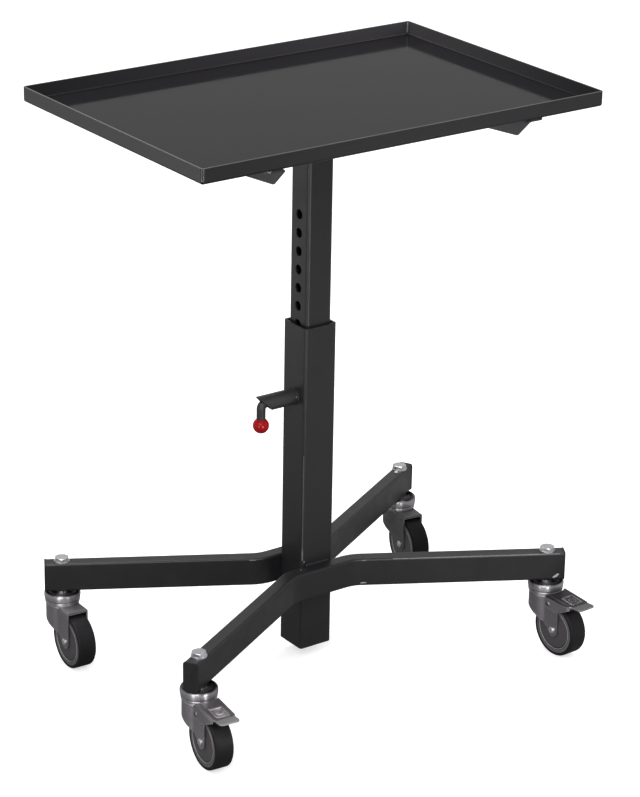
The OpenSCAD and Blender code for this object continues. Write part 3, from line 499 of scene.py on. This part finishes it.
# A pale bead in the back right inner corner: a painted glint
x, y = TRAY_X - GLINT_INSET, TRAY_Y - GLINT_INSET
ends = [(x, y, TRAY_FLOOR + 0.0035), (x, y, RIM_TOP - 0.0015)]
bead("glint_tray_back", ends, CORNER_WELD, "upper", (-1, -1, 0), glint_coat, 0.9)
for side, sx in (("left", -1), ("right", 1)):
    x = sx * ARM_EDGE
    for i, y in enumerate(ARM_WELD_PLACES):
        ends = [(x, y - ARM_WELD_HALF, TRAY_UNDER), (x, y + ARM_WELD_HALF, TRAY_UNDER)]
        bead(f"weld_{side}_arm_{i}", ends, ARM_WELD, "upper", (-sx, 0, -1))
    x = sx * BEAM_END
    for i, y in enumerate((-BEAM_HALF, BEAM_HALF)):
        ends = [(x, y, BEAM_UNDER + 0.003), (x, y, TRAY_UNDER - 0.003)]
        bead(f"weld_{side}_beam_{i}", ends, BEAM_WELD, "upper", (-sx, y, 0))
for sy in (-1, 1):
    y = sy * INNER_POST
    ends = [(-sy * HEAD_WELD_HALF, y, BEAM_UNDER), (sy * HEAD_WELD_HALF, y, BEAM_UNDER)]
    bead(f"weld_head_{sy + 1}", ends, BEAM_WELD, "upper", (0, sy, -1))

# Casters: the section of a cup, as radius and height in millimetres, from the foot of its kingpin on

CUP_FOOT = ((6, 77.5), (6.1, 77.5), (11.8, 77.5), (12, 77.7), (12, 79.7), (11.8, 79.9), (9.1, 79.9), (9, 80))
CUP_HOLLOW = ((9, 89.2), (9.1, 89.3), (20.3, 89.3), (20.4, 89.2))
CUP_LIP = ((20.4, 85), (20.6, 84.8), (23, 84.8), (23.4, 84.95), (23.6, 85.4), (23.55, 86), (23.3, 86.4),
           (22.95, 86.6))
CUP_BEAD = ((22.8, 86.8), (22.85, 87.05), (23.2, 87.25), (23.65, 87.8), (24, 88.8), (24.25, 90.2),
            (24.42, 91.8), (24.5, 93.4), (24.42, 94.8), (24.15, 96.1), (23.65, 97.2), (22.9, 97.95),
            (22, 98.35), (21, 98.5), (19.6, 98.45), (18.6, 98.1), (17.8, 97.6), (17, 97.4))
CUP_NECK = ((10.4, 97.4), (10.1, 97.6), (10, 98.2), (10, 99.8), (9.8, 100), (6.2, 100), (6, 99.8))
CUP = CUP_FOOT + CUP_HOLLOW + CUP_LIP + CUP_BEAD + CUP_NECK
ROUND = 96

# The rings on the wheels, a pale one that is a painted glint along the rim's edge and a dark one that is
# painted shade in the groove beside it: how far they lie from the wheel's middle, half their thickness, and
# their radii
HOOP_FACE, HOOP_THICK, HOOP_SIDES = 0.0121, 0.0004, 8
HOOPS = (("inner", 0.0278, hoop_glint), ("outer", 0.0287, hoop_shade))

# The raised frame on a pedal: the height of its middle, how far out it lies, its fall, and half its sides
FRAME_HEIGHT, FRAME_OUT, FRAME_FALL = 0.0856, 0.053, math.radians(3.81)
FRAME_LONG, FRAME_WIDE, FRAME_BEAD = 0.01, 0.009, 0.0007


def cup(k):
    """The cup on the leg with its kingpin, in place of the plainer solid."""
    x, y, _ = joints[f"{k}_turn"]["pos_m"]
    rings = []
    for t in turn(ROUND):
        c, s = math.cos(t), math.sin(t)
        rings.append([(x + r * c / 1000, y + r * s / 1000, z / 1000) for r, z in CUP])
    o = loft(f"cup_{k}", rings, "base", head, closed=True)
    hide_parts(f"{k}_cup")


def hoop(name, centre, axis, radius, body, mat):
    """A thin round ring, half sunk in the face that it lies on."""
    side = axis.orthogonal().normalized()
    up = axis.cross(side)
    rings = []
    for t in turn(ROUND):
        out = side * math.cos(t) + up * math.sin(t)
        rings.append([centre + out * (radius + HOOP_THICK * math.cos(u)) + axis * HOOP_THICK * math.sin(u)
                      for u in turn(HOOP_SIDES)])
    loft(name, rings, body, mat, closed=True)


def wheel_hoops(k):
    """A pale ring, a painted glint, and round it a dark one, painted shade, on both faces of a wheel."""
    wheel = joints[f"{k}_roll"]
    axis = Vector(wheel["axis"])
    for label, side in (("near", -1), ("far", 1)):
        face = Vector(wheel["pos_m"]) + axis * side * HOOP_FACE
        for ring, radius, mat in HOOPS:
            hoop(f"hoop_{k}_{ring}_{label}", face, axis, radius, f"{k}_wheel", mat)


def pedal_frame(k):
    """Four beads in a rectangle on a pedal, which falls away from the caster's swivel axis."""
    across = Vector(joints[f"{k}_roll"]["axis"])
    out = Vector((across.y, -across.x, 0))
    x, y, _ = joints[f"{k}_turn"]["pos_m"]
    middle = Vector((x, y, FRAME_HEIGHT)) + out * FRAME_OUT
    slope = out * math.cos(FRAME_FALL) - Vector((0, 0, math.sin(FRAME_FALL)))
    corners = [middle + slope * FRAME_LONG * a + across * FRAME_WIDE * b
               for a, b in ((-1, -1), (1, -1), (1, 1), (-1, 1))]
    for i in range(4):
        ends = [corners[i], corners[(i + 1) % 4]]
        bead(f"grip_{k}_{i}", ends, FRAME_BEAD, f"{k}_brake", (0, 0, 1), grip, 0.9)


for k in CASTERS:
    cup(k)
    wheel_hoops(k)
    if k in BRAKED:
        pedal_frame(k)

# Painted highlights: paler lines along edges that catch the light, by both ends, radius, normal and material

LEFT_EDGE, LEG_EDGE = (-0.7, -0.7, 0), (-0.43, -0.76, 0.48)
LIT_EDGES = (
    ("front_leg", (0.0930, -0.0703, 0.1387), (0.2916, -0.1824, 0.1387), 0.0007, LEG_EDGE, glint_coat),
    ("outer_post", (-0.024, -0.024, 0.148), (-0.024, -0.024, 0.3), 0.0007, LEFT_EDGE, edge_coat),
    ("outer_post_low", (-0.024, -0.024, 0.148), (-0.024, -0.024, 0.165), 0.0008, LEFT_EDGE, glint_coat))
for name, start, end, radius, normal, mat in LIT_EDGES:
    bead(f"edge_{name}", [start, end], radius, "base", normal, mat)

# Small pale flakes on the frame: painted glints where the legs' bends catch the light, and bright marks
# elsewhere. By middle, normal, the direction of their length, length, width and material

LEG_OUT, LEG_ALONG = (-0.49, -0.87, 0), (0.87, -0.49, 0)
FRONT_BEND, REAR_BEND, UP = (-0.47, -0.84, 0.28), (-0.45, -0.89, 0.07), (0, 0, 1)
PALE_FLAKES = (
    ("right_end", (0.2883, -0.18135, 0.1068), LEG_OUT, (0.87, -0.49, 0.72), 0.0105, 0.0045, bright_flake),
    ("right_low", (0.2852, -0.17962, 0.1041), LEG_OUT, (0.87, -0.49, 0.2), 0.004, 0.0025, bright_flake),
    ("back_bolt", (0.2714, 0.1598, 0.14), UP, (0.8, 0.55, 0), 0.0075, 0.006, bright_flake),
    # Painted glints where the bends of the legs catch the light
    ("front_bend_top_glint", (0.0588, -0.05155, 0.1377), FRONT_BEND, LEG_ALONG, 0.008, 0.0018, glint_coat),
    ("front_bend_low_glint", (0.0582, -0.05115, 0.1046), LEG_OUT, LEG_ALONG, 0.011, 0.002, bright_flake),
    ("rear_bend_glint", (-0.065, 0.03205, 0.1371), REAR_BEND, (0.89, -0.45, 0), 0.014, 0.0018, glint_coat),
    ("post_low", (-0.0215, -0.02502, 0.146), (0, -1, 0), (1, 0, 0.6), 0.002, 0.0014, bright_flake),
    ("leg_weld", (-0.03186, -0.03278, 0.14), UP, (1, 0.3, 0), 0.0026, 0.0014, bright_flake),
    ("sleeve", (-0.0277, -0.01075, 0.3804), (0, -0.96, 0.29), (1, 0, 0), 0.0018, 0.0014, bright_flake))

# A flake's corners, and its rings from the foot under the coat up, by share of its size and height
FLAKE_SIDES = 14
FLAKE_RINGS = ((1.0, -0.00012), (0.94, 0.0001), (0.7, 0.00014))


def pale_flake(name, middle, normal, along, long, wide, mat):
    """A ragged pale flake, longest along one direction, a little proud of the coat."""
    normal = Vector(normal).normalized()
    along = (Vector(along) - normal * Vector(along).dot(normal)).normalized()
    across = normal.cross(along)
    ragged = [rng.uniform(0.6, 1.1) for _ in range(FLAKE_SIDES)]
    rings = []
    for scale, height in FLAKE_RINGS:
        ring = []
        for t, reach in zip(turn(FLAKE_SIDES), ragged):
            flat = along * long * math.cos(t) + across * wide * math.sin(t)
            ring.append(Vector(middle) + flat / 2 * reach * scale + normal * height)
        rings.append(ring)
    loft(name, rings, "base", mat, smooth=False)


for name, *values in PALE_FLAKES:
    pale_flake(f"chip_{name}", *values)

# Camera: the photograph's own place and lens. The focal length is in the photograph's pixels

AZIMUTH, ELEVATION, ROLL = math.radians(-35.85), math.radians(22.05), math.radians(1.01)
CAMERA_PLACE = (-2.0850, -2.8998, 1.8144)
FOCAL_PIXELS, PHOTO_HEIGHT, SENSOR = 2923.7, 797, 36


def place_camera():
    """The camera where the photograph was taken from, rolled a little as it was."""
    back = Vector((math.sin(AZIMUTH) * math.cos(ELEVATION), -math.cos(AZIMUTH) * math.cos(ELEVATION),
                   math.sin(ELEVATION)))
    level = Vector((math.cos(AZIMUTH), math.sin(AZIMUTH), 0))
    upright = back.cross(level)
    right = math.cos(ROLL) * level + math.sin(ROLL) * upright
    up = -math.sin(ROLL) * level + math.cos(ROLL) * upright
    camera = bpy.data.cameras.new("camera")
    camera.sensor_width = SENSOR
    camera.lens = FOCAL_PIXELS * SENSOR / PHOTO_HEIGHT
    camera.shift_x = 0.0060
    camera.shift_y = 0.00075
    camera.clip_end = 50
    o = bpy.data.objects.new("camera", camera)
    scene.collection.objects.link(o)
    rows = [(right[i], up[i], back[i], CAMERA_PLACE[i]) for i in range(3)]
    o.matrix_world = Matrix((*rows, (0, 0, 0, 1)))
    scene.camera = o


place_camera()

# Floor and world

FLOOR_HALF, FLOOR_WHITE = 9.0, (0.8, 0.8, 0.8)

# Painted shade and light on the floor, seen only in mirrors and bounced light: how pale it is by distance
# from the front to the back left, where it is darkest a little behind the stand. Start and end of a ramp,
# then its first and last value. The two ramps add up.
FLOOR_AWAY = (-0.58, 0.81, 0)
FLOOR_SHADE = ((-0.5, 0.3, 0.39, 0.2), (0.7, 2.1, 0.0, 0.68))

# How much the floor glows for the camera alone, by distance from the stand: a ramp as above
FLOOR_GLOW = (1.0, 4.0, 0.62, 0.76)

# The sky's strength for the lighting, where the camera sees 1, and what a mirror adds to it, by height
SKY = 0.35
SKY_MIRROR = {"From Min": 0.5, "From Max": 0.75, "To Min": 0.19, "To Max": -0.22}


def floor_paint():
    """White and glowing for the camera, and for mirrors and bounced light graded grey, a painted shade that
    is darkest a little behind the stand.
    """
    p = Paint("floor_white", FLOOR_WHITE, 0.9, spec=0.1)
    to_camera = p.node("ShaderNodeLightPath").outputs["Is Camera Ray"]
    away = p.node("ShaderNodeVectorMath", {0: p.coords, 1: FLOOR_AWAY}, operation="DOT_PRODUCT")
    near_ramp, far_ramp = [p.band(away.outputs["Value"], *ramp) for ramp in FLOOR_SHADE]
    grey = p.node("ShaderNodeMath", {0: near_ramp, 1: far_ramp}, operation="ADD").outputs[0]
    seen = p.node("ShaderNodeMix", {0: to_camera, 6: grey, 7: (*FLOOR_WHITE, 1)}, data_type="RGBA")
    p.link(seen.outputs[2], p.shader.inputs["Base Color"])
    distance = p.node("ShaderNodeVectorMath", {0: p.coords}, operation="LENGTH").outputs["Value"]
    p.shader.inputs["Emission Color"].default_value = (1, 1, 1, 1)
    p.link(p.both(to_camera, p.band(distance, *FLOOR_GLOW)), p.shader.inputs["Emission Strength"])
    return p.done()


def floor():
    """The white floor that the stand is on."""
    bm = bmesh.new()
    bmesh.ops.create_grid(bm, x_segments=8, y_segments=8, size=FLOOR_HALF)
    mesh = bpy.data.meshes.new("floor")
    bm.to_mesh(mesh)
    bm.free()
    mesh.materials.append(floor_paint())
    o = bpy.data.objects.new("floor", mesh)
    scene.collection.objects.link(o)


def studio():
    """A white world that lights weakly. Mirrors see it paler low down and darker above."""
    world = bpy.data.worlds.new("studio")
    scene.world = world
    world.use_nodes = True
    w = Wiring(world.node_tree)
    background = w.tree.nodes["Background"]
    background.inputs["Color"].default_value = (1, 1, 1, 1)
    ray = w.node("ShaderNodeLightPath").outputs
    direction = w.node("ShaderNodeTexCoord").outputs["Generated"]
    height = w.node("ShaderNodeSeparateXYZ", {0: direction}).outputs["Z"]
    low_down = w.node("ShaderNodeMapRange", {"Value": height, **SKY_MIRROR}, interpolation_type="SMOOTHSTEP")
    add = low_down.outputs["Result"]
    seen = w.node("ShaderNodeMath", {0: ray["Is Camera Ray"], 1: 1.0 - SKY, 2: SKY},
                  operation="MULTIPLY_ADD").outputs[0]
    mirrored = w.node("ShaderNodeMath", {0: ray["Is Glossy Ray"], 1: add, 2: seen},
                      operation="MULTIPLY_ADD").outputs[0]
    w.link(mirrored, background.inputs["Strength"])


floor()
studio()


# Lights

def lamp(name, kind, place, target, power):
    """A light at place, turned towards target. Its power is in watts."""
    light = bpy.data.lights.new(name, kind)
    light.energy = power
    o = bpy.data.objects.new(name, light)
    scene.collection.objects.link(o)
    o.location = place
    o.rotation_euler = (Vector(target) - Vector(place)).to_track_quat("-Z", "Y").to_euler()
    return o


def area(name, place, target, power, wide, high=None):
    """A square lamp or, where high is given, a rectangular one."""
    o = lamp(name, "AREA", place, target, power)
    o.data.size = wide
    if high:
        o.data.shape = "RECTANGLE"
        o.data.size_y = high
    return o


def mirrored_only(name, place, target, power, wide, high):
    """A lamp that shows in metal and gloss and doesn't light dull surfaces."""
    area(name, place, target, power, wide, high).visible_diffuse = False


def spot(name, place, target, power, angle):
    """A soft spotlight, whose cone is angle degrees wide."""
    o = lamp(name, "SPOT", place, target, power)
    o.data.spot_size = math.radians(angle)
    o.data.spot_blend = 0.6
    o.data.shadow_soft_size = 0.08


POST_MIDDLE, CASTER_HEIGHT, LEG_ABOVE = (0, 0, 0.4), (0, 0, 0.12), (0, 0, 0.2)
area("key", (-2.2, -2.0, 2.6), POST_MIDDLE, 60, 1.4, 1.8)
area("fill", (2.4, -1.8, 1.6), POST_MIDDLE, 28, 1.6, 2.0).visible_glossy = False
area("top", (0.2, 0.6, 3.0), (0, 0, 0.5), 72, 2.2)
for name, place in (("strip_left", (-1.3, -0.62, 0.3)), ("strip_front", (-0.2, -1.1, 0.3))):
    mirrored_only(name, place, CASTER_HEIGHT, 3.4, 0.2, 0.5)
mirrored_only("line_front", (0.1, -1.3, 2.9), LEG_ABOVE, 9, 2.2, 0.3)
mirrored_only("line_left", (-1.7, 0.1, 2.8), LEG_ABOVE, 9, 0.3, 2.0)
spot("card", (-0.9, -0.5, 0.5), (0.19, -0.15, 0.745), 90, 16)

scene.view_settings.view_transform = "Standard"
